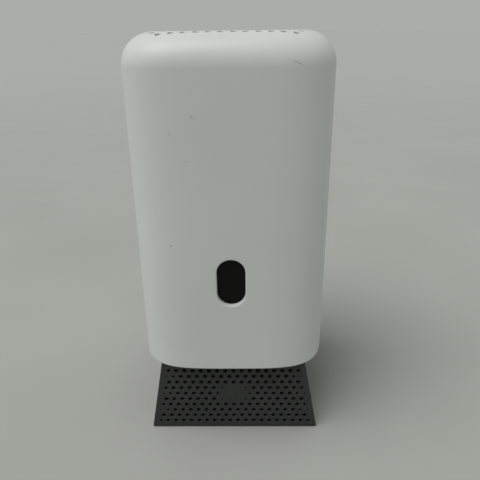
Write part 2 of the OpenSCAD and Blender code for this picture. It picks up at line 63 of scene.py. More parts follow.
# Shape of the shell, as in the CAD model: a rounded square (superellipse) with a rounded top edge
WALL = 2.6 * MM
SQUARENESS = 4.1
TOP_R = 16 * MM
INNER_HALF = HALF - WALL
INNER_TOP = TOP - WALL
INNER_R = TOP_R - WALL
LIP_R = 0.9 * MM
INNER_LIP = 0.5 * MM

# Vents in the top. The middle of the top is filled as one patch, a little wider than they reach
VENT_PITCH = 6 * MM
VENT_RISE = 4.75 * MM
VENT_R = 1.5 * MM
VENT_EDGE = 0.3 * MM
VENT_SIDES = 20
VENT_REACH = HALF - TOP_R + 7 * MM
PATCH_SIZE = HALF - TOP_R + 9.6 * MM

# Fineness of the meshes: the shell's columns and rows, steps of a rounded edge and of the top's
# round, and the gap below which points are merged
COLUMN_STEP = 1.7 * MM
FINE_STEPS = 4000
ROW_STEP = 12 * MM
FIRST_ROW = 5
LAST_ROW = 18
EDGE_STEPS = 4
FILLET_STEPS = 14
MERGE_GAP = 0.002 * MM

# Rings of extra points that carry the top's curve round the vents
RING_FIRST = 40 * MM
RING_STEP = 1.1 * MM
RING_LAST = PATCH_SIZE - 0.9 * MM
RING_COUNT = 9
RING_CLEAR = 0.4 * MM

# The window's hole is a gap wider than the lens, whose flange is a lip wider again
FLANGE_LIP = 2 * MM
HOLE_GAP = 0.2 * MM
WINDOW_Z = (WINDOW_LOW.z + WINDOW_HIGH.z) / 2
LENS_W = WINDOW_HIGH.x - WINDOW_LOW.x - 2 * FLANGE_LIP
LENS_H = WINDOW_HIGH.z - WINDOW_LOW.z - 2 * FLANGE_LIP
HOLE_W = LENS_W + 2 * HOLE_GAP
HOLE_H = LENS_H + 2 * HOLE_GAP
HOLE_EDGE = 0.8 * MM

# The lens: a crown over its middle, a fall over its outermost part, and its rows' insets in mm
FLANGE_T = 1.5 * MM
LENS_CROWN = 0.15 * MM
LENS_REACH = 7 * MM
LENS_FALL = 0.35 * MM
LENS_EDGE = 0.45 * MM
LENS_INSETS = (6.4, 5.2, 4.0, 2.8, 1.8, 1.0, 0.45, 0.2, 0.06, 0.0)

# The rear slot is the panel less the lip behind the wall
PANEL_LIP = 3 * MM
SLOT_W = PANEL_HIGH.x - PANEL_LOW.x - 2 * PANEL_LIP
SLOT_H = PANEL_HIGH.z - PANEL_LOW.z - 2 * PANEL_LIP
SLOT_Z = (PANEL_LOW.z + PANEL_HIGH.z) / 2
SLOT_R = 3 * MM
SLOT_EDGE = 0.5 * MM

# Patches of the shell's wall that are filled round the two openings, with rings and a grid of points
FRONT_PATCH_X = 14 * MM
REAR_PATCH_X = 22 * MM
FRONT_ROWS = (WINDOW_LOW.z - 3 * MM, WINDOW_HIGH.z + 3 * MM)
REAR_ROWS = (PANEL_LOW.z - 1 * MM, PANEL_HIGH.z + 1 * MM)
PATCH_RINGS = (0.7 * MM, 1.6 * MM, 2.8 * MM)
PATCH_STEP = 3 * MM
PATCH_CLEAR = 4 * MM
PATCH_MARGIN = 0.5 * MM

# Network sockets: front sheet, depth of the hollow, half the width that is lined with black, and
# half of the mouth's outline, with the latch's steps, in mm
SHEET = 0.35 * MM
HOLLOW = 14 * MM
LINED_HALF = 6.3 * MM
HALF_MOUTH = [(5, 5.95), (-2.8, 5.95), (-2.8, 3.2), (-4.5, 3.2), (-4.5, 1.7), (-5.6, 1.7)]
MOUTH = [(x * MM, z * MM) for x, z in HALF_MOUTH + [(x, -z) for x, z in reversed(HALF_MOUTH)]]
JACKS = ["wan_jack", "lan_jack_1", "lan_jack_2", "lan_jack_3"]

# Spring contacts: their bend as (place across, depth behind the front) in mm, and half their section
SPRING_PATH = [(4.85, 13.8), (4.85, 12.7), (4.72, 12.1), (4.4, 10.4), (4.1, 7.4), (3.95, 5.2),
               (3.93, 4.4), (4.02, 3.8), (4.25, 3.4), (4.6, 3.2)]
SPRING_T = 0.09 * MM
SPRING_W = 0.19 * MM
SPRING_COUNT = 8
SPRING_PITCH = 1.02 * MM

# Port strip: gap round a socket, chamfer, and each round hole with its radius and chamfer
PORT_GAP = 0.2 * MM
PORT_R = 0.4 * MM
PANEL_R = 1 * MM
BEVEL = 0.25 * MM
ROUND_HOLES = [
    ("dc_jack", 4.8 * MM, BEVEL),
    ("power_button", 4.85 * MM, BEVEL),
    ("wps_button", 3.55 * MM, BEVEL),
    ("reset_button", 1.0 * MM, 2 * BEVEL),
]

# Base: a flared box, whose width at the top and at the foot set the lean of its walls
BASE_WALL = 2 * MM
BASE_TOP_HALF = 43.6 * MM
BASE_FOOT = BASE_HIGH.x
BASE_DEPTH = BASE_HIGH.y
BASE_CORNER = 0.5 * MM
BASE_CORNER_STEPS = 4
LEAN = math.atan((BASE_FOOT - BASE_TOP_HALF) / (BASE_HIGH.z - BASE_LOW.z))

# Screw tabs of the base
TAB_X = 20 * MM
TAB_Y = 42 * MM
TAB_HALF = 6 * MM
TAB_T = 2 * MM
TAB_HOLE_R = 1.55 * MM
TAB_SIDES = 24

# Perforations of the base. A row's last two holes shrink, and are drawn in, as the wall's end comes near
PERF_PITCH = 5 * MM
PERF_RISE = PERF_PITCH * math.sqrt(3) / 2
PERF_R = 1.3 * MM
PERF_EDGE = 0.18 * MM
PERF_SIDES = 16
PERF_FIRST = 5.3 * MM
PERF_ROWS = 10
END_MARGIN = 1.8 * MM
END_NONE = 1.2 * MM
END_FADE = 3.8 * MM
SECOND_SHARE = 0.4
SECOND_GAIN = 0.8
END_PULL = 1.5 * MM
LEAST_SHARE = 0.2

# Plain oval in the front wall
OVAL_A = 8.6 * MM
OVAL_B = 6.2 * MM
OVAL_FADE = 4
OVAL_Z = PERF_FIRST + 5 * PERF_RISE

# Scuffs on the front, each with its place, its angle and its size
SHELL_MARKS = [
    (-17.5 * MM, 198 * MM, -50, 3.0 * MM, 0.5 * MM),
    (-29 * MM, 190 * MM, 0, 1.0 * MM, 0.8 * MM),
    (-22 * MM, 176 * MM, 20, 1.2 * MM, 0.6 * MM),
    (-32 * MM, 130 * MM, -20, 1.6 * MM, 0.6 * MM),
    (-33 * MM, 90 * MM, 40, 1.0 * MM, 0.6 * MM),
    (33 * MM, 222 * MM, -20, 6.0 * MM, 0.35 * MM),
]

# Corners of a rectangle in order, each with the angle at which its round starts
CORNERS = [(1, 1, 0), (-1, 1, 90), (-1, -1, 180), (1, -1, 270)]

# Stage, light and camera, in metres and degrees. The floor's colour fades from near to far, the
# room's from front to rear
FLOOR_HALF = 60.0
FLOOR_NEAR = 0.4
FLOOR_FAR = 3.0
ROOM_FRONT = (0.222, 0.23, 0.224)
ROOM_REAR = (0.402, 0.42, 0.405)
ROOM_FADE = (-1.0, 0.1)
SUN_STRENGTH = 1.85
SUN_SPREAD = 45
SUN_FROM = (-0.55, -0.35, 1.3)
CAMERA_LENS = 36.92
CAMERA_ANGLES = (0.95, 23.11, 0.72)
CAMERA_SIDE = 9.15 * MM
CAMERA_DISTANCE = 239.8 * MM
CAMERA_HEIGHT = 236.2 * MM


# -------------------- small maths
def bent(value, power):
    """Power that keeps the sign."""
    return math.copysign(abs(value) ** power, value)


def plan(half, t):
    """Point of the rounded-square plan at parameter t."""
    return half * bent(math.cos(t), 2 / SQUARENESS), half * bent(math.sin(t), 2 / SQUARENESS)


def plan_size(x, y):
    """Size of the rounded square that passes through a point."""
    return (abs(x) ** SQUARENESS + abs(y) ** SQUARENESS) ** (1 / SQUARENESS)


def dome(x, y, half, top, r):
    """Height of the shell's top over a point of its plan."""
    over = plan_size(x, y) - (half - r)
    return top if over <= 0 else top - r + math.sqrt(max(r * r - over * over, 0))


def face_y(x, half):
    """Distance of the front or rear face from the middle, at x."""
    return half * (1 - (abs(x) / half) ** SQUARENESS) ** (1 / SQUARENESS)


def share(value):
    """Value held between 0 and 1."""
    return min(1.0, max(0.0, value))


def pill_loop(w, h, grow, arc=20, side=6):
    """Outline with round ends, grown by an offset, about the origin."""
    r = w / 2 + grow
    straight = (h - w) / 2
    angles = [math.pi * k / arc for k in range(arc + 1)]
    loop = [(r * math.cos(a), straight + r * math.sin(a)) for a in angles]
    loop += [(-r, straight * (1 - 2 * k / side)) for k in range(1, side)]
    loop += [(-x, -z) for x, z in loop[: arc + 1]]
    loop += [(r, straight * (2 * k / side - 1)) for k in range(1, side)]
    return loop


def pill_distance(x, z, w, h):
    """How far a point lies outside the outline with round ends."""
    return math.hypot(x, max(abs(z) - (h - w) / 2, 0)) - w / 2


def soft_loop(w, h, r, grow, arc=6, side=8):
    """Rounded rectangle, grown by an offset, about the origin."""
    loop = []
    for sx, sz, start in CORNERS:
        x0, z0 = sx * (w / 2 - r), sz * (h / 2 - r)
        for k in range(arc + 1):
            a = math.radians(start + 90 * k / arc)
            loop.append((x0 + (r + grow) * math.cos(a), z0 + (r + grow) * math.sin(a)))
    full = []
    for k, (x, z) in enumerate(loop):
        bx, bz = loop[(k + 1) % len(loop)]
        full.append((x, z))
        if (k + 1) % (arc + 1) == 0:
            full += [(x + (bx - x) * m / side, z + (bz - z) * m / side) for m in range(1, side)]
    return full


def soft_distance(x, z, w, h, r):
    """How far a point lies outside the rounded rectangle."""
    dx, dz = abs(x) - (w / 2 - r), abs(z) - (h / 2 - r)
    return math.hypot(max(dx, 0), max(dz, 0)) + min(max(dx, dz), 0) - r


def grown(loop, grow):
    """Anticlockwise outline with square corners, grown by an offset."""
    found = []
    for k, (x, z) in enumerate(loop):
        (ax, az), (bx, bz) = loop[k - 1], loop[(k + 1) % len(loop)]
        before, after = math.hypot(x - ax, z - az), math.hypot(bx - x, bz - z)
        found.append((x + grow * ((z - az) / before + (bz - z) / after),
                      z - grow * ((x - ax) / before + (bx - x) / after)))
    return found


def inside_loop(loop, x, z):
    """Is a point inside an outline?"""
    found = False
    for k, (ax, az) in enumerate(loop):
        bx, bz = loop[k - 1]
        if (az > z) != (bz > z) and x < ax + (z - az) * (bx - ax) / (bz - az):
            found = not found
    return found


def circle_loop(x, y, r, count):
    angles = [2 * math.pi * k / count for k in range(count)]
    return [(x + r * math.cos(a), y + r * math.sin(a)) for a in angles]


def raised(loop, height):
    """Outline moved up."""
    return [(x, height + z) for x, z in loop]


# -------------------- mesh building
class Solid:
    """Collects points and faces of one piece, then closes it into a mesh."""

    def __init__(self):
        self.points, self.faces = [], []

    def add(self, points):
        """Adds a row of points and returns their numbers."""
        start = len(self.points)
        self.points += [tuple(p) for p in points]
        return list(range(start, len(self.points)))

    def strip(self, a, b, closed=True):
        """Quads between two rows of as many points."""
        for k in range(len(a) if closed else len(a) - 1):
            j = (k + 1) % len(a)
            self.faces.append((a[k], a[j], b[j], b[k]))

    def cap(self, loop):
        self.faces.append(tuple(loop))

    def join(self, rows):
        """Joins rows of as many points, each to the next."""
        for a, b in zip(rows, rows[1:]):
            self.strip(a, b)

    def tube(self, rows):
        """Joins rows of as many points, and closes the first and the last."""
        self.join(rows)
        self.cap(rows[0])
        self.cap(rows[-1])

    def patch(self, flat, loops, inside, place):
        """Fills a flat outline with triangles, and lifts them to a surface. Loops are the edges to keep."""
        edges = [(loop[k], loop[(k + 1) % len(loop)]) for loop in loops for k in range(len(loop))]
        spots = [Vector((x / MM, y / MM)) for x, y in flat]
        _, _, triangles, source, _, _ = delaunay_2d_cdt(spots, edges, [], 0, 1e-5, True)
        numbers = self.add([place(x, y) for x, y in flat])
        for triangle in triangles:
            corners = [source[i][0] for i in triangle]
            x = sum(flat[i][0] for i in corners) / 3
            y = sum(flat[i][1] for i in corners) / 3
            if inside(x, y):
                self.faces.append(tuple(numbers[i] for i in corners))
        return numbers

    def lathe(self, profile, count, centre=(0, 0)):
        """Turns (radius, height) pairs about an upright axis. A radius of 0 closes an end."""
        rows = []
        for r, z in profile:
            if r == 0:
                rows.append(self.add([(*centre, z)]) * count)
            else:
                rows.append(self.add([(x, y, z) for x, y in circle_loop(*centre, r, count)]))
        self.join(rows)

    def make(self, name, material, smooth, move):
        """Turns the points and faces into a closed, smoothly shaded object."""
        bm = bmesh.new()
        verts = [bm.verts.new(p) for p in self.points]
        for face in self.faces:
            corners = list(dict.fromkeys(face))
            if len(corners) > 2:
                bm.faces.new([verts[i] for i in corners])
        bmesh.ops.remove_doubles(bm, verts=bm.verts, dist=MERGE_GAP)
        bmesh.ops.dissolve_degenerate(bm, edges=bm.edges, dist=1e-7)
        loose = [v for v in bm.verts if not v.link_faces]
        bmesh.ops.delete(bm, geom=loose, context="VERTS")
        bmesh.ops.recalc_face_normals(bm, faces=bm.faces)
        if move:
            bmesh.ops.transform(bm, matrix=move, verts=bm.verts)
        opened = sum(1 for e in bm.edges if len(e.link_faces) != 2)
        if opened:
            print("OPEN EDGES", name, opened)
        mesh = bpy.data.meshes.new(name)
        bm.to_mesh(mesh)
        bm.free()
        mesh.shade_smooth()
        mesh.set_sharp_from_angle(angle=math.radians(smooth))
        piece = bpy.data.objects.new(name, mesh)
        bpy.context.scene.collection.objects.link(piece)
        piece.data.materials.append(material)
        weigh = piece.modifiers.new("weigh", "WEIGHTED_NORMAL")
        weigh.keep_sharp = True
        return piece


def place_piece(solid, name, body, slot, *nodes, smooth=32, move=None):
    """Makes a piece in its slot's material, rides it on its body and hides the CAD nodes that it stands for.
    """
    piece = solid.make(name, MATERIALS[slot], smooth, move)
    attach(piece, body)
    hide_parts(*nodes)


# -------------------- materials
class Nodes:
    """Builds a tree of shader nodes over one kind of coordinates."""

    def __init__(self, tree, place):
        self.tree = tree
        self.place = self.node("ShaderNodeTexCoord").outputs[place]

    def node(self, kind, **inputs):
        made = self.tree.nodes.new(kind)
        for key, value in inputs.items():
            made.inputs[key].default_value = value
        return made

    def link(self, output, target):
        self.tree.links.new(output, target)

    def split(self):
        """The X, Y and Z of a place."""
        made = self.node("ShaderNodeSeparateXYZ")
        self.link(self.place, made.inputs[0])
        return made.outputs

    def stretched(self, **values):
        """Places scaled or turned before a texture reads them."""
        made = self.node("ShaderNodeMapping", **values)
        self.link(self.place, made.inputs["Vector"])
        return made.outputs["Vector"]

    def noise(self, scale, detail, rough=0.5, vector=None):
        made = self.node("ShaderNodeTexNoise", Scale=scale, Detail=detail, Roughness=rough)
        self.link(vector or self.place, made.inputs["Vector"])
        return made.outputs["Fac"]

    def cells(self, scale):
        made = self.node("ShaderNodeTexVoronoi", Scale=scale)
        self.link(self.place, made.inputs["Vector"])
        return made.outputs["Distance"]

    def ranged(self, value, low, high, to_low, to_high):
        """Moves values between low and high to another range, and holds them in it."""
        made = self.node("ShaderNodeMapRange")
        made.inputs["From Min"].default_value = low
        made.inputs["From Max"].default_value = high
        made.inputs["To Min"].default_value = to_low
        made.inputs["To Max"].default_value = to_high
        self.link(value, made.inputs["Value"])
        return made.outputs["Result"]

    def maths(self, operation, *values):
        made = self.node("ShaderNodeMath")
        made.operation = operation
        for slot, value in zip(made.inputs, values):
            if isinstance(value, (int, float)):
                slot.default_value = value
            else:
                self.link(value, slot)
        return made.outputs[0]

    def mix(self, factor, a, b):
        made = self.node("ShaderNodeMix")
        made.data_type = "RGBA"
        self.link(factor, made.inputs["Factor"])
        for slot, value in ((made.inputs["A"], a), (made.inputs["B"], b)):
            if isinstance(value, tuple):
                slot.default_value = (*value, 1)
            else:
                self.link(value, slot)
        return made.outputs["Result"]


class Material(Nodes):
    """One procedural material."""

    def __init__(self, name):
        self.material = bpy.data.materials.new(name)
        self.material.use_nodes = True
        super().__init__(self.material.node_tree, "Object")
        self.shader = self.tree.nodes["Principled BSDF"]

    def colour(self, value):
        self.link(value, self.shader.inputs["Base Color"])

    def roughness(self, value):
        self.link(value, self.shader.inputs["Roughness"])

    def bump(self, height, depth, under=None):
        """Adds a bump whose height is in metres for an input of 0 to 1."""
        made = self.node("ShaderNodeBump", Distance=depth, Strength=1.0)
        self.link(height, made.inputs["Height"])
        if under is not None:
            self.link(under, made.inputs["Normal"])
        self.link(made.outputs["Normal"], self.shader.inputs["Normal"])
        return made.outputs["Normal"]

    def constant(self, **values):
        """Sets inputs of the shader and returns the finished material."""
        for key, value in values.items():
            self.shader.inputs[key.replace("_", " ")].default_value = value
        return self.material


def moulded(name, colour, rough, spread=0.06, grain=2600, depth=0.00001, shift=0.05):
    """Moulded plastic: fine spark-eroded grain, with slight changes of tone and gloss."""
    n = Material(name)
    broad = n.noise(28, 4)
    fine = n.noise(grain, 2, 0.6)
    darker = tuple(c * (1 - shift) for c in colour)
    lighter = tuple(min(1, c * (1 + shift)) for c in colour)
    n.colour(n.mix(n.ranged(broad, 0.3, 0.7, 0, 1), darker, lighter))
    n.roughness(n.ranged(n.noise(90, 5), 0.3, 0.7, rough - spread, rough + spread))
    n.bump(fine, depth)
    return n.material


def plated(name, colour, rough):
    """Plated or extruded metal, with fine drawn lines along its length."""
    n = Material(name)
    lines = n.noise(400, 4, 0.6, n.stretched(Scale=(1, 1, 12)))
    n.colour(n.mix(n.ranged(lines, 0.3, 0.7, 0, 1), tuple(c * 0.88 for c in colour), colour))
    n.roughness(n.ranged(n.noise(120, 3), 0.3, 0.7, rough - 0.08, rough + 0.1))
    n.bump(lines, 0.000004)
    return n.constant(Metallic=1.0)


def socket_metal():
    """Drawn tin-plated shield, lined with black plastic behind its front sheet."""
    n = Material("jack_metal")
    place = n.split()
    front = PANEL_HIGH.y - SHEET
    deep = n.ranged(place["Y"], front - 0.03 * MM, front + 0.02 * MM, 1, 0)
    across = n.maths("ABSOLUTE", place["X"])
    middle = n.ranged(across, LINED_HALF, LINED_HALF + 0.1 * MM, 1, 0)
    lining = n.maths("MULTIPLY", deep, middle)
    lines = n.noise(500, 4, 0.6)
    plate = n.mix(n.ranged(lines, 0.3, 0.7, 0, 1), (0.42, 0.41, 0.39), (0.56, 0.55, 0.53))
    n.colour(n.mix(lining, plate, (0.014, 0.014, 0.014)))
    n.link(n.maths("SUBTRACT", 1.0, lining), n.shader.inputs["Metallic"])
    n.roughness(n.ranged(n.noise(160, 3), 0.3, 0.7, 0.28, 0.42))
    n.bump(lines, 0.000004)
    return n.material


def shell_plastic():
    """White satin plastic with a fine grain, faint handling marks and a little wear."""
    n = Material("shell_white")
    broad = n.noise(14, 5)
    tone = n.mix(n.ranged(broad, 0.35, 0.65, 0, 1), (0.68, 0.71, 0.68), (0.71, 0.74, 0.71))
    specks = n.ranged(n.cells(150), 0.0, 0.035, 1, 0)
    rare = n.ranged(n.noise(60, 1), 0.6, 0.66, 0, 1)
    dirt = n.maths("MULTIPLY", specks, rare)
    tone = n.mix(n.maths("MULTIPLY", dirt, 0.35), tone, (0.35, 0.33, 0.28))
    marks = surface_mark(n, *SHELL_MARKS[0])
    for mark in SHELL_MARKS[1:]:
        marks = n.maths("MAXIMUM", marks, surface_mark(n, *mark))
    n.colour(n.mix(n.maths("MULTIPLY", marks, 0.55), tone, (0.22, 0.22, 0.21)))
    n.roughness(n.ranged(n.noise(45, 6, 0.65), 0.35, 0.7, 0.38, 0.48))
    under = n.bump(n.noise(2400, 2, 0.6), 0.000012)
    n.bump(n.maths("SUBTRACT", 1.0, marks), 0.00006, under)
    return n.constant(Specular_IOR_Level=0.5)


def surface_mark(n, x, z, angle, length, width):
    """Mask of one scuff: a short line on the front at x and z, turned by an angle."""
    place = n.split()
    dx = n.maths("SUBTRACT", place["X"], x)
    dz = n.maths("SUBTRACT", place["Z"], z)
    c, s = math.cos(math.radians(angle)), math.sin(math.radians(angle))
    along = n.maths("ADD", n.maths("MULTIPLY", dx, c), n.maths("MULTIPLY", dz, s))
    across = n.maths("SUBTRACT", n.maths("MULTIPLY", dz, c), n.maths("MULTIPLY", dx, s))
    wobble = n.maths("MULTIPLY", n.maths("SUBTRACT", n.noise(900, 2), 0.5), width * 2)
    across = n.maths("ADD", across, wobble)
    far = n.maths("ADD", n.maths("POWER", n.maths("ABSOLUTE", n.maths("DIVIDE", along, length / 2)), 2),
                  n.maths("POWER", n.maths("ABSOLUTE", n.maths("DIVIDE", across, width / 2)), 2))
    front = n.ranged(place["Y"], -40 * MM, -30 * MM, 1, 0)
    return n.maths("MULTIPLY", n.ranged(far, 0.5, 1.2, 1, 0), front)


def base_plastic():
    """Dark textured plastic with a light, uneven film of dust."""
    n = Material("base_grey")
    broad = n.noise(40, 5)
    tone = n.mix(n.ranged(broad, 0.3, 0.7, 0, 1), (0.029, 0.031, 0.031), (0.039, 0.041, 0.041))
    dust = n.ranged(n.noise(700, 4, 0.7), 0.5, 0.75, 0, 0.12)
    tone = n.mix(dust, tone, (0.25, 0.25, 0.23))
    n.colour(tone)
    n.roughness(n.ranged(n.noise(160, 4), 0.3, 0.7, 0.55, 0.7))
    under = n.bump(n.noise(1800, 3, 0.6), 0.00003)
    n.bump(n.cells(2600), 0.00001, under)
    return n.constant(Specular_IOR_Level=0.35)


def lens_gloss():
    """Polished smoked lens with faint wiping marks."""
    n = Material("window_black")
    tone = n.ranged(n.noise(60, 3), 0.3, 0.7, 0, 1)
    n.colour(n.mix(tone, (0.003, 0.003, 0.003), (0.006, 0.006, 0.006)))
    wipes = n.noise(160, 5, 0.6, n.stretched(Scale=(1, 1, 5), Rotation=(0, 0.5, 0)))
    n.roughness(n.ranged(wipes, 0.4, 0.75, 0.05, 0.16))
    n.bump(n.noise(120, 2), 0.000002)
    return n.constant(Specular_IOR_Level=0.13)


MATERIALS = {
    "shell_white": shell_plastic(),
    "base_grey": base_plastic(),
    "window_black": lens_gloss(),
    "panel_grey": moulded("panel_grey", (0.03, 0.032, 0.032), 0.55, grain=1800, depth=0.00002),
    "foot_rubber": moulded("foot_rubber", (0.015, 0.015, 0.015), 0.8, grain=900, depth=0.00003),
    "socket_black": moulded("socket_black", (0.012, 0.012, 0.012), 0.45),
    "switch_black": moulded("switch_black", (0.02, 0.02, 0.02), 0.5),
    "button_grey": moulded("button_grey", (0.1, 0.105, 0.105), 0.42),
    "frame_white": moulded("frame_white", (0.6, 0.6, 0.57), 0.55),
    "board_green": moulded("board_green", (0.01, 0.12, 0.045), 0.35, grain=500, depth=0.00002, shift=0.25),
    "antenna_board": moulded("antenna_board", (0.01, 0.035, 0.02), 0.35, grain=500, depth=0.00002, shift=0.3),
    "chip_black": moulded("chip_black", (0.015, 0.015, 0.017), 0.55, grain=3000),
    "pad_blue": moulded("pad_blue", (0.25, 0.38, 0.5), 0.85, grain=1200, depth=0.00003),
    "connector_cream": moulded("connector_cream", (0.72, 0.66, 0.52), 0.5),
    "led_white": moulded("led_white", (0.85, 0.84, 0.72), 0.25, grain=4000, depth=0.000004),
    "guide_clear": moulded("guide_clear", (0.72, 0.78, 0.8), 0.12, 0.04, 300, 0.000004, 0.03),
    "ribbon_white": moulded("ribbon_white", (0.75, 0.75, 0.72), 0.45, grain=1200),
    "lead_black": moulded("lead_black", (0.02, 0.02, 0.02), 0.6, grain=1500),
    "jack_metal": socket_metal(),
    "can_metal": plated("can_metal", (0.6, 0.6, 0.57), 0.35),
    "pin_metal": plated("pin_metal", (0.7, 0.69, 0.66), 0.22),
    "screw_steel": plated("screw_steel", (0.55, 0.55, 0.55), 0.3),
    "sink_aluminium": plated("sink_aluminium", (0.75, 0.76, 0.77), 0.38),
    "contact_gold": plated("contact_gold", (0.9, 0.66, 0.28), 0.2),
}


# -------------------- outer shell
def columns():
    """Parameters of the plan's columns, evenly spaced, with one at each side of the two openings."""
    def at(x, side):
        return side * math.acos(bent(x / HALF, SQUARENESS / 2))

    keys = [-math.pi, at(-FRONT_PATCH_X, -1), at(FRONT_PATCH_X, -1), 0.0,
            at(REAR_PATCH_X, 1), at(-REAR_PATCH_X, 1), math.pi]
    found = []
    for low, high in zip(keys, keys[1:]):
        fine = [low + (high - low) * k / FINE_STEPS for k in range(FINE_STEPS + 1)]
        spots = [plan(HALF, t) for t in fine]
        run = [0.0]
        for a, b in zip(spots, spots[1:]):
            run.append(run[-1] + math.hypot(b[0] - a[0], b[1] - a[1]))
        count = max(2, round(run[-1] / COLUMN_STEP))
        place = 0
        for k in range(count):
            while run[place] < run[-1] * k / count:
                place += 1
            found.append(fine[place])
    return found


def plan_ring(solid, ts, half, z):
    """A row of points round the plan at a height."""
    return solid.add([(*plan(half, t), z) for t in ts])


def shell_side(solid, ts, half, low, high, openings):
    """The upright wall between two heights, with a patch left out and filled round each opening."""
    level = [k * ROW_STEP for k in range(FIRST_ROW, LAST_ROW + 1)]
    rows = sorted({low, high, *FRONT_ROWS, *REAR_ROWS, *level})
    rows = [z for z in rows if low <= z <= high]
    rings = [plan_ring(solid, ts, half, z) for z in rows]
    count = len(ts)
    for upper in range(1, len(rows)):
        for k in range(count):
            j = (k + 1) % count
            middle_t = (ts[k] + (ts[j] if j else math.pi)) / 2
            middle_z = (rows[upper] + rows[upper - 1]) / 2
            if any(o.holds(middle_t, middle_z) for o in openings):
                continue
            below, above = rings[upper - 1], rings[upper]
            solid.faces.append((below[k], below[j], above[j], above[k]))
    for opening in openings:
        opening.fill(solid, ts, rows, half)


class Opening:
    """A hole through the shell's front or rear wall."""

    def __init__(self, side, patch_x, rows, z, loop, distance, edge):
        self.side, self.patch_x, self.rows, self.z = side, patch_x, rows, z
        self.loop, self.distance, self.edge = loop, distance, edge
        self.rims = {}

    def holds(self, t, z):
        """Does a point of the wall lie in the patch round the opening?"""
        x, y = plan(HALF, t)
        return y * self.side > 0 and abs(x) < self.patch_x and self.rows[0] < z < self.rows[1]

    def surface(self, half, depth=0.0):
        """Places a flat point on the wall, or at a depth below its surface."""
        return lambda x, z: (x, self.side * (face_y(x, half) - depth), z)

    def fill(self, solid, ts, rows, half):
        """Fills one side of the patch and keeps the rim of its hole."""
        grow = self.edge if half == HALF else 0.0
        level = [z for z in rows if self.rows[0] <= z <= self.rows[1]]
        across = [plan(half, t)[0] for t in ts if plan(HALF, t)[1] * self.side > 0
                  and abs(plan(HALF, t)[0]) <= self.patch_x + 1e-7]
        across.sort()
        edge_x = self.patch_x * half / HALF
        outline = [(x, level[0]) for x in across]
        outline += [(across[-1], z) for z in level[1:-1]]
        outline += [(x, level[-1]) for x in reversed(across)]
        outline += [(across[0], z) for z in reversed(level[1:-1])]
        flat = list(outline)
        hole = raised(self.loop(grow), self.z)
        flat += hole
        for extra in PATCH_RINGS:
            ring = raised(self.loop(grow + extra), self.z)
            flat += [(x, z) for x, z in ring if abs(x) < edge_x - PATCH_MARGIN
                     and level[0] + PATCH_MARGIN < z < level[-1] - PATCH_MARGIN]
        x = -edge_x + PATCH_STEP
        while x < edge_x - PATCH_STEP / 2:
            z = level[0] + PATCH_STEP
            while z < level[-1] - PATCH_STEP / 2:
                if self.distance(x, z - self.z) > grow + PATCH_CLEAR:
                    flat.append((x, z))
                z += PATCH_STEP
            x += PATCH_STEP
        n, m = len(outline), len(hole)
        numbers = solid.patch(
            flat, [range(n), range(n, n + m)],
            lambda x, z: self.distance(x, z - self.z) > grow, self.surface(half))
        self.rims[half] = numbers[n : n + m]

    def bore(self, solid):
        """Rounds the outer edge and joins it to the inner one."""
        rim = self.rims[HALF]
        for k in range(1, EDGE_STEPS + 1):
            a = math.pi / 2 * k / EDGE_STEPS
            grow, depth = self.edge * (1 - math.sin(a)), self.edge * (1 - math.cos(a))
            place = self.surface(HALF, depth)
            row = solid.add([place(x, z) for x, z in raised(self.loop(grow), self.z)])
            solid.strip(rim, row)
            rim = row
        solid.strip(rim, self.rims[INNER_HALF])


def vent_centres():
    """Staggered places of the vents that lie within reach of the top's middle."""
    reach = math.ceil(VENT_REACH / VENT_RISE)
    found = []
    for j in range(-reach, reach + 1):
        for i in range(-reach, reach + 1):
            x, y = VENT_PITCH * (i + (j % 2) / 2), VENT_RISE * j
            if plan_size(x, y) < VENT_REACH:
                found.append((x, y))
    return found


def vented_patch(solid, ts, half, top, r, edge, vents):
    """The vented middle of the top. Returns the rims of the vents."""
    flat = [plan(PATCH_SIZE, t) for t in ts]
    loops = [list(range(len(ts)))]
    for x, y in vents:
        loops.append(list(range(len(flat), len(flat) + VENT_SIDES)))
        flat += circle_loop(x, y, VENT_R + edge, VENT_SIDES)
    for k in range(RING_COUNT):
        size = min(RING_FIRST + k * RING_STEP, RING_LAST)
        for t in ts[::2]:
            x, y = plan(size, t)
            if min(math.hypot(x - a, y - b) for a, b in vents) > VENT_R + edge + RING_CLEAR:
                flat.append((x, y))

    def keep(x, y):
        return min((x - a) ** 2 + (y - b) ** 2 for a, b in vents) > (VENT_R + edge) ** 2

    numbers = solid.patch(flat, loops, keep, lambda x, y: (x, y, dome(x, y, half, top, r)))
    return [[numbers[i] for i in loop] for loop in loops[1:]]


def add_shell_lip(solid, ts):
    """The rounded foot of the wall, from its outer to its inner surface."""
    rows = []
    for k in range(EDGE_STEPS + 1):
        a = math.pi / 2 * k / EDGE_STEPS
        half, z = HALF - LIP_R * (1 - math.cos(a)), BOTTOM + LIP_R * (1 - math.sin(a))
        rows.append(plan_ring(solid, ts, half, z))
    rows.append(plan_ring(solid, ts, INNER_HALF + INNER_LIP, BOTTOM))
    rows.append(plan_ring(solid, ts, INNER_HALF, BOTTOM + INNER_LIP))
    solid.join(rows)


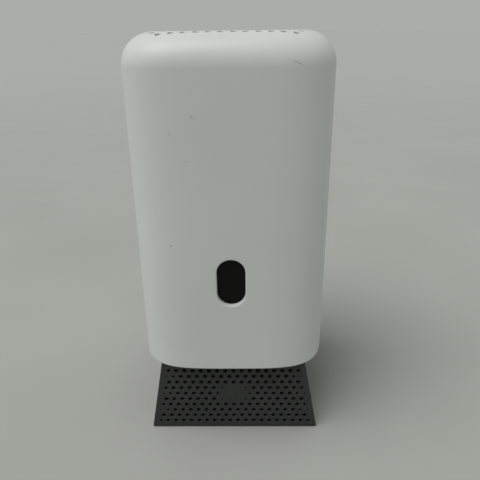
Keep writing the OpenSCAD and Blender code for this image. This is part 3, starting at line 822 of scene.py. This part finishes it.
def add_shell_top(solid, ts):
    """The rounded top edge and the vented top, outside and inside, joined through each vent."""
    vents = vent_centres()
    rims = []
    for half, top, r, edge in ((HALF, TOP, TOP_R, VENT_EDGE), (INNER_HALF, INNER_TOP, INNER_R, 0.0)):
        start = math.asin((PATCH_SIZE - (half - r)) / r)
        rows = []
        for k in range(FILLET_STEPS + 1):
            a = start + (math.pi / 2 - start) * k / FILLET_STEPS
            rows.append(plan_ring(solid, ts, half - r + r * math.sin(a), top - r + r * math.cos(a)))
        solid.join(rows)
        rims.append(vented_patch(solid, ts, half, top, r, edge, vents))
    for (x, y), rim, inner in zip(vents, *rims):
        for a in (math.radians(45), math.radians(90)):
            drop = VENT_EDGE * (1 - math.cos(a))
            loop = circle_loop(x, y, VENT_R + VENT_EDGE * (1 - math.sin(a)), VENT_SIDES)
            row = solid.add([(p, q, dome(p, q, HALF, TOP, TOP_R) - drop) for p, q in loop])
            solid.strip(rim, row)
            rim = row
        solid.strip(rim, inner)


def make_shell():
    """The white skin: outer and inner surface, joined at the foot, the vents and the two openings."""
    solid = Solid()
    ts = columns()
    window = Opening(-1, FRONT_PATCH_X, FRONT_ROWS, WINDOW_Z,
                     lambda grow: pill_loop(HOLE_W, HOLE_H, grow),
                     lambda x, z: pill_distance(x, z, HOLE_W, HOLE_H), HOLE_EDGE)
    slot = Opening(1, REAR_PATCH_X, REAR_ROWS, SLOT_Z,
                   lambda grow: soft_loop(SLOT_W, SLOT_H, SLOT_R, grow),
                   lambda x, z: soft_distance(x, z, SLOT_W, SLOT_H, SLOT_R), SLOT_EDGE)
    openings = [window, slot]
    shell_side(solid, ts, HALF, BOTTOM + LIP_R, TOP - TOP_R, openings)
    shell_side(solid, ts, INNER_HALF, BOTTOM + INNER_LIP, INNER_TOP - INNER_R, openings)
    for opening in openings:
        opening.bore(solid)
    add_shell_lip(solid, ts)
    add_shell_top(solid, ts)
    place_piece(solid, "shell", "housing", "shell_white", "outer_shell")


# -------------------- base
def base_half(z):
    """Half the base's width at a height."""
    return BASE_FOOT - (z - BASE_LOW.z) * math.tan(LEAN)


def base_inner_half(z):
    """Half the width of the space inside the base at a height."""
    return base_half(z) - BASE_WALL / math.cos(LEAN)


def perforations(half_at_foot, lean, has_oval):
    """Centres and radii of the holes in one wall. Holes shrink near the sides and near the plain oval."""
    found = []
    for row in range(PERF_ROWS):
        z = PERF_FIRST + row * PERF_RISE
        half = half_at_foot - z * math.tan(lean)
        stagger = ((row + 1) % 2) / 2
        last = math.floor((half - END_MARGIN) / PERF_PITCH - stagger) + stagger
        outermost = share((half - last * PERF_PITCH - END_NONE) / END_FADE)
        ends = [outermost, share(SECOND_SHARE + SECOND_GAIN * outermost)]
        for i in range(round(2 * last) + 1):
            x = PERF_PITCH * (i - last)
            order = min(i, round(2 * last) - i)
            end = ends[order] if order < len(ends) else 1.0
            size = end
            if has_oval:
                beyond = math.hypot(x / OVAL_A, (z - OVAL_Z) / OVAL_B) - 1
                size = min(size, share(beyond * OVAL_FADE))
            if size > LEAST_SHARE:
                found.append((x - math.copysign(END_PULL * (1 - end), x), z, PERF_R * size))
    return found


def add_wall(solid, holes, outline, outer, inside, inner):
    """One wall: an outer and an inner sheet with the same holes, joined through each hole."""
    near = bucketed(holes)

    def sheet(corners, grow, place):
        flat = list(corners)
        loops = [list(range(len(flat)))]
        for x, z, r in holes:
            loops.append(list(range(len(flat), len(flat) + PERF_SIDES)))
            flat += circle_loop(x, z, r + grow, PERF_SIDES)

        def keep(x, z):
            return all((x - a) ** 2 + (z - b) ** 2 > (r + grow) ** 2 for a, b, r in near(x, z))

        numbers = solid.patch(flat, loops, keep, place)
        return [[numbers[i] for i in loop] for loop in loops[1:]]

    outer_rims = sheet(outline, PERF_EDGE, lambda x, z: outer(x, z, 0.0))
    inner_rims = sheet(inside, 0.0, inner)
    for (x, z, r), outer_rim, inner_rim in zip(holes, outer_rims, inner_rims):
        row = solid.add([outer(p, q, PERF_EDGE) for p, q in circle_loop(x, z, r, PERF_SIDES)])
        solid.strip(outer_rim, row)
        solid.strip(row, inner_rim)


def bucketed(holes):
    size = PERF_PITCH
    found = {}
    for hole in holes:
        key = (math.floor(hole[0] / size), math.floor(hole[1] / size))
        for i in (-1, 0, 1):
            for j in (-1, 0, 1):
                found.setdefault((key[0] + i, key[1] + j), []).append(hole)
    return lambda x, z: found.get((math.floor(x / size), math.floor(z / size)), [])


def add_upright_walls(solid):
    """The front and rear walls of the base. Only the front has the plain oval."""
    low, high = BASE_LOW.z, BASE_HIGH.z
    ends = [(-1, low), (-1, high), (1, high), (1, low)]
    outline = [(s * (base_half(z) - BASE_CORNER), z) for s, z in ends]
    inside = [(s * base_inner_half(z), z) for s, z in ends]
    for side in (-1, 1):
        add_wall(solid, perforations(BASE_FOOT, LEAN, side < 0),
                 outline, lambda x, z, d, side=side: (x, side * (BASE_DEPTH - d), z),
                 inside, lambda x, z, side=side: (x, side * (BASE_DEPTH - BASE_WALL), z))


def add_leaning_walls(solid):
    """The side walls of the base, laid out along their slope."""
    low = BASE_LOW.z
    slope = (BASE_HIGH.z - low) / math.cos(LEAN)
    # The inner sheet slides along the slope so that it ends level with the outer one
    slide = BASE_WALL * math.tan(LEAN)
    y = BASE_DEPTH - BASE_CORNER
    outline = [(-y, 0), (-y, slope), (y, slope), (y, 0)]
    y = BASE_DEPTH - BASE_WALL
    inside = [(-y, slide), (-y, slope + slide), (y, slope + slide), (y, slide)]
    for side in (-1, 1):
        def outer(y, s, d, side=side):
            x = BASE_FOOT - s * math.sin(LEAN) - d * math.cos(LEAN)
            return side * x, y, low + s * math.cos(LEAN) - d * math.sin(LEAN)

        add_wall(solid, perforations(BASE_DEPTH - BASE_WALL, 0, False), outline, outer,
                 inside, lambda y, s, outer=outer: outer(y, s, BASE_WALL))


def add_base_rims(solid):
    """The level foot and top of the walls, and the rounded upright corners between them."""
    size = BASE_CORNER_STEPS + 1
    inner_y = BASE_DEPTH - BASE_WALL
    rims = []
    for z in (BASE_LOW.z, BASE_HIGH.z):
        inner_x = base_inner_half(z)
        outer_loop = []
        for sx, sy, start in CORNERS:
            for k in range(size):
                a = math.radians(start + 90 * k / BASE_CORNER_STEPS)
                outer_loop.append((sx * (base_half(z) - BASE_CORNER) + BASE_CORNER * math.cos(a),
                                   sy * (BASE_DEPTH - BASE_CORNER) + BASE_CORNER * math.sin(a)))
        inner_loop = [(sx * inner_x, sy * inner_y) for sx, sy, _ in CORNERS]
        n = len(outer_loop)
        numbers = solid.patch(outer_loop + inner_loop, [range(n), range(n, n + 4)],
                              lambda x, y, inner_x=inner_x: abs(x) > inner_x or abs(y) > inner_y,
                              lambda x, y, z=z: (x, y, z))
        rims.append(numbers[:n])
    for first in range(0, len(rims[0]), size):
        solid.strip(*(rim[first : first + size] for rim in rims), closed=False)


def add_tab(solid, x, side):
    """A screw tab that stands in from the front or rear wall, level with the base's top."""
    wall_y, end_y, hole_y = BASE_DEPTH - BASE_WALL, TAB_Y - TAB_HALF, side * TAB_Y
    outline = [(x - TAB_HALF, wall_y), (x - TAB_HALF, end_y), (x + TAB_HALF, end_y), (x + TAB_HALF, wall_y)]
    outline = [(a, side * b) for a, b in outline][::side]
    hole = circle_loop(x, hole_y, TAB_HOLE_R, TAB_SIDES)
    sheets = []
    for z in (BASE_HIGH.z - TAB_T, BASE_HIGH.z):
        sheets.append(solid.patch(outline + hole, [range(4), range(4, 4 + TAB_SIDES)],
                                  lambda a, b: math.hypot(a - x, b - hole_y) > TAB_HOLE_R,
                                  lambda a, b, z=z: (a, b, z)))
    solid.strip(*(sheet[:4] for sheet in sheets))
    solid.strip(*(sheet[4:] for sheet in sheets))


def make_base():
    """The dark base: four perforated walls, their level rims and four screw tabs."""
    solid = Solid()
    add_upright_walls(solid)
    add_leaning_walls(solid)
    add_base_rims(solid)
    for x in (-TAB_X, TAB_X):
        for side in (-1, 1):
            add_tab(solid, x, side)
    place_piece(solid, "perforated_base", "housing", "base_grey", "base_skirt")


# -------------------- status window
def make_window():
    """The smoked lens: crowned, with a soft edge, and a flange behind the shell's wall."""
    back = WINDOW_HIGH.y
    profile = []
    for inset in (i * MM for i in LENS_INSETS):
        crown = LENS_CROWN * (1 - inset / LENS_REACH) ** 2
        fall = LENS_FALL * (max(0.0, LENS_EDGE - inset) / LENS_EDGE) ** 2
        profile.append((-inset, WINDOW_LOW.y + crown + fall))
    profile += [(0.0, back - FLANGE_T), (FLANGE_LIP, back - FLANGE_T), (FLANGE_LIP, back)]
    solid = Solid()
    rows = []
    for grow, y in profile:
        rows.append(solid.add([(x, y, z) for x, z in raised(pill_loop(LENS_W, LENS_H, grow), WINDOW_Z)]))
    solid.tube(rows)
    place_piece(solid, "status_lens", "housing", "window_black", "front_window")


# -------------------- rear ports
def middle_z(node):
    """Height of the middle of a node."""
    low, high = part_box(node)
    return (low.z + high.z) / 2


def make_socket(node):
    """A network socket: folded metal shield with a soft front edge, round a stepped hollow."""
    low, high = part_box(node)
    w, h, front, z0 = high.x - low.x, high.z - low.z, high.y, middle_z(node)
    fold, corner, bevel, lip = 0.45 * MM, 0.8 * MM, 0.12 * MM, 0.2 * MM
    solid = Solid()

    def row(loop, depth):
        return solid.add([(x, front - depth, z) for x, z in raised(loop, z0)])

    face, mouth, lipped = soft_loop(w, h, corner, -fold), grown(MOUTH, lip + bevel), grown(MOUTH, lip)
    n, m = len(face), len(mouth)
    numbers = solid.patch(face + mouth, [range(n), range(n, n + m)],
                          lambda x, z: not inside_loop(mouth, x, z), lambda x, z: (x, front, z0 + z))
    outer = [numbers[:n]]
    for k in range(1, EDGE_STEPS + 1):
        a = math.pi / 2 * k / EDGE_STEPS
        outer.append(row(soft_loop(w, h, corner, -fold * (1 - math.sin(a))), fold * (1 - math.cos(a))))
    outer.append(row(soft_loop(w, h, corner, 0), front - low.y))
    hollow = [numbers[n:], row(lipped, bevel), row(lipped, SHEET), row(MOUTH, SHEET), row(MOUTH, HOLLOW)]
    for rows in (outer, hollow):
        solid.join(rows)
        solid.cap(rows[-1])
    place_piece(solid, node.replace("jack", "socket"), "housing", "jack_metal", node)


def make_contacts():
    """Bent spring contacts, eight in each socket."""
    last = len(SPRING_PATH) - 1
    solid = Solid()
    for node in JACKS:
        for i in range(SPRING_COUNT):
            z = middle_z(node) + (i - (SPRING_COUNT - 1) / 2) * SPRING_PITCH
            rows = []
            for k, (x, depth) in enumerate(SPRING_PATH):
                (ax, ad), (bx, bd) = SPRING_PATH[max(k - 1, 0)], SPRING_PATH[min(k + 1, last)]
                run = math.hypot(bx - ax, bd - ad)
                dx, dy = -(bd - ad) / run * SPRING_T, -(bx - ax) / run * SPRING_T
                x, y = x * MM, PANEL_HIGH.y - depth * MM
                rows.append(solid.add([(x + side * dx, y + side * dy, z + up * SPRING_W)
                                       for side, up in ((1, 1), (1, -1), (-1, -1), (-1, 1))]))
            solid.tube(rows)
    place_piece(solid, "contact_springs", "housing", "contact_gold", "jack_contacts", smooth=50)


def panel_holes():
    """The holes of the port strip, each as its outline for an offset and the width of its chamfer."""
    low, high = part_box("wan_jack")
    w, h = high.x - low.x + 2 * PORT_GAP, high.z - low.z + 2 * PORT_GAP
    holes = []
    for node in JACKS:
        holes.append((lambda grow, z=middle_z(node): raised(soft_loop(w, h, PORT_R, grow, 3, 3), z), BEVEL))
    for node, r, edge in ROUND_HOLES:
        holes.append((lambda grow, z=middle_z(node), r=r: circle_loop(0, z, r + grow, 48), edge))
    return holes


def make_panel():
    """The strip in the rear slot, with a small chamfer round each of its holes."""
    front = PANEL_HIGH.y
    outline = raised(soft_loop(PANEL_HIGH.x - PANEL_LOW.x, PANEL_HIGH.z - PANEL_LOW.z, PANEL_R, 0), SLOT_Z)
    holes = panel_holes()
    solid = Solid()

    def face(y, bevelled):
        loops = [outline] + [hole(edge * bevelled) for hole, edge in holes]
        flat, numbered = [], []
        for loop in loops:
            numbered.append(range(len(flat), len(flat) + len(loop)))
            flat += loop
        numbers = solid.patch(flat, numbered, lambda x, z: not any(inside_loop(c, x, z) for c in loops[1:]),
                              lambda x, z: (x, y, z))
        return [[numbers[i] for i in part] for part in numbered]

    fronts = face(front, True)
    backs = face(PANEL_LOW.y, False)
    solid.strip(fronts[0], backs[0])
    for (hole, edge), front_rim, back_rim in zip(holes, fronts[1:], backs[1:]):
        ledge = solid.add([(x, front - edge, z) for x, z in hole(0)])
        solid.strip(front_rim, ledge)
        solid.strip(ledge, back_rim)
    place_piece(solid, "port_strip", "housing", "panel_grey", "io_panel")


def make_feet():
    """Four rubber feet with a round edge and a shallow dish below."""
    low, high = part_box("rubber_feet")
    r, edge, dish, bevel = 6 * MM, 0.5 * MM, 0.15 * MM, 0.1 * MM
    profile = [(0, dish), (r * 0.6, dish), (r * 0.75, 0)]
    for k in range(6):
        a = math.pi / 2 * k / 5
        profile.append((r - edge + edge * math.sin(a), edge * (1 - math.cos(a))))
    profile += [(r, high.z - bevel), (r - bevel, high.z), (0, high.z)]
    solid = Solid()
    for x in (low.x + r, high.x - r):
        for y in (low.y + r, high.y - r):
            solid.lathe(profile, 40, (x, y))
    place_piece(solid, "feet", "housing", "foot_rubber", "rubber_feet")


# -------------------- buttons
def make_button(node, name, dish, collar, stem_r):
    """A turned push button: dished cap with a soft edge, a collar wider than the cap, and a stem."""
    low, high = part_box(node)
    collar_r = (high.x - low.x) / 2
    cap_r = collar_r - collar
    collar_front = PANEL_LOW.y - 0.4 * MM
    collar_back = collar_front - 1.6 * MM
    round_r, bevel, stem_bevel = 0.6 * MM, 0.2 * MM, 0.3 * MM
    profile = []
    for k in range(9):
        profile.append(((cap_r - round_r) * k / 8, high.y - dish * (1 - (k / 8) ** 2)))
    for k in range(1, 6):
        a = math.pi / 2 * k / 5
        profile.append((cap_r - round_r + round_r * math.sin(a), high.y - round_r + round_r * math.cos(a)))
    profile += [(cap_r, collar_front), (collar_r - bevel, collar_front), (collar_r, collar_front - bevel),
                (collar_r, collar_back + bevel), (collar_r - bevel, collar_back), (stem_r, collar_back),
                (stem_r, low.y + stem_bevel), (stem_r - stem_bevel, low.y), (0, low.y)]
    solid = Solid()
    solid.lathe(profile, 56)
    turn = Matrix.Translation((0, 0, middle_z(node))) @ Matrix.Rotation(-math.pi / 2, 4, "X")
    place_piece(solid, name, node, "button_grey", node, move=turn)


# -------------------- what stays from the frame
def finish_frame_nodes():
    """Gives every CAD node that stays its procedural material."""
    for part in frame["record"]["subparts"]:
        node = frame["nodes"][part["node"]]
        node.data.materials.clear()
        node.data.materials.append(MATERIALS[part["material_slot"]])


# -------------------- stage
def make_floor():
    """Plain pale floor, whose colour fades to the room's with distance."""
    corners = [(x * FLOOR_HALF, y * FLOOR_HALF, 0) for x, y in ((-1, -1), (1, -1), (1, 1), (-1, 1))]
    mesh = bpy.data.meshes.new("floor")
    mesh.from_pydata(corners, [], [(0, 1, 2, 3)])
    floor = bpy.data.objects.new("floor", mesh)
    bpy.context.scene.collection.objects.link(floor)
    n = Material("floor")
    far = n.node("ShaderNodeVectorMath")
    far.operation = "LENGTH"
    n.link(n.place, far.inputs[0])
    near = n.mix(n.ranged(n.noise(6, 3), 0.3, 0.7, 0, 1), (0.393, 0.393, 0.37), (0.42, 0.42, 0.397))
    n.colour(n.mix(n.ranged(far.outputs["Value"], FLOOR_NEAR, FLOOR_FAR, 0, 1), near, (0.436, 0.45, 0.434)))
    n.roughness(n.ranged(n.noise(30, 3), 0.3, 0.7, 0.7, 0.85))
    floor.data.materials.append(n.material)


def make_room():
    """Soft light from all round, weaker from the front than from the rear."""
    world = bpy.data.worlds.new("room")
    world.use_nodes = True
    n = Nodes(world.node_tree, "Generated")
    tint = n.mix(n.ranged(n.split()["Y"], *ROOM_FADE, 0, 1), ROOM_FRONT, ROOM_REAR)
    n.link(tint, n.tree.nodes["Background"].inputs["Color"])
    bpy.context.scene.world = world


def make_softbox():
    """One broad light from above, to the front and left."""
    sun = bpy.data.lights.new("softbox", "SUN")
    sun.energy = SUN_STRENGTH
    sun.angle = math.radians(SUN_SPREAD)
    sun.color = (1.0, 1.0, 0.985)
    lamp = bpy.data.objects.new("softbox", sun)
    lamp.rotation_mode = "QUATERNION"
    lamp.rotation_quaternion = Vector(SUN_FROM).to_track_quat("Z", "Y")
    bpy.context.scene.collection.objects.link(lamp)


def make_camera():
    """Close in front, a little to the right, level with the top and looking down."""
    data = bpy.data.cameras.new("camera")
    data.sensor_width = 36
    data.lens = CAMERA_LENS
    camera = bpy.data.objects.new("camera", data)
    turn, dip, roll = (math.radians(a) for a in CAMERA_ANGLES)
    forward = Vector((-math.sin(turn) * math.cos(dip), math.cos(turn) * math.cos(dip), -math.sin(dip)))
    level = Vector((math.cos(turn), math.sin(turn), 0))
    up = level.cross(forward)
    right = level * math.cos(roll) - up * math.sin(roll)
    over = level * math.sin(roll) + up * math.cos(roll)
    pose = Matrix((right, over, -forward)).transposed().to_4x4()
    pose.translation = Vector((CAMERA_SIDE, SHELL_LOW.y - CAMERA_DISTANCE, CAMERA_HEIGHT))
    camera.matrix_world = pose
    bpy.context.scene.collection.objects.link(camera)
    bpy.context.scene.camera = camera


view = bpy.context.scene.view_settings
view.view_transform = "Standard"
view.look = "None"

make_camera()
make_floor()
make_room()
make_softbox()
finish_frame_nodes()
make_shell()
make_base()
make_window()
make_panel()
for jack in JACKS:
    make_socket(jack)
make_contacts()
make_feet()
make_button("power_button", "power_cap", dish=0.5 * MM, collar=1.0 * MM, stem_r=1.8 * MM)
make_button("wps_button", "pairing_cap", dish=0.3 * MM, collar=0.8 * MM, stem_r=1.2 * MM)
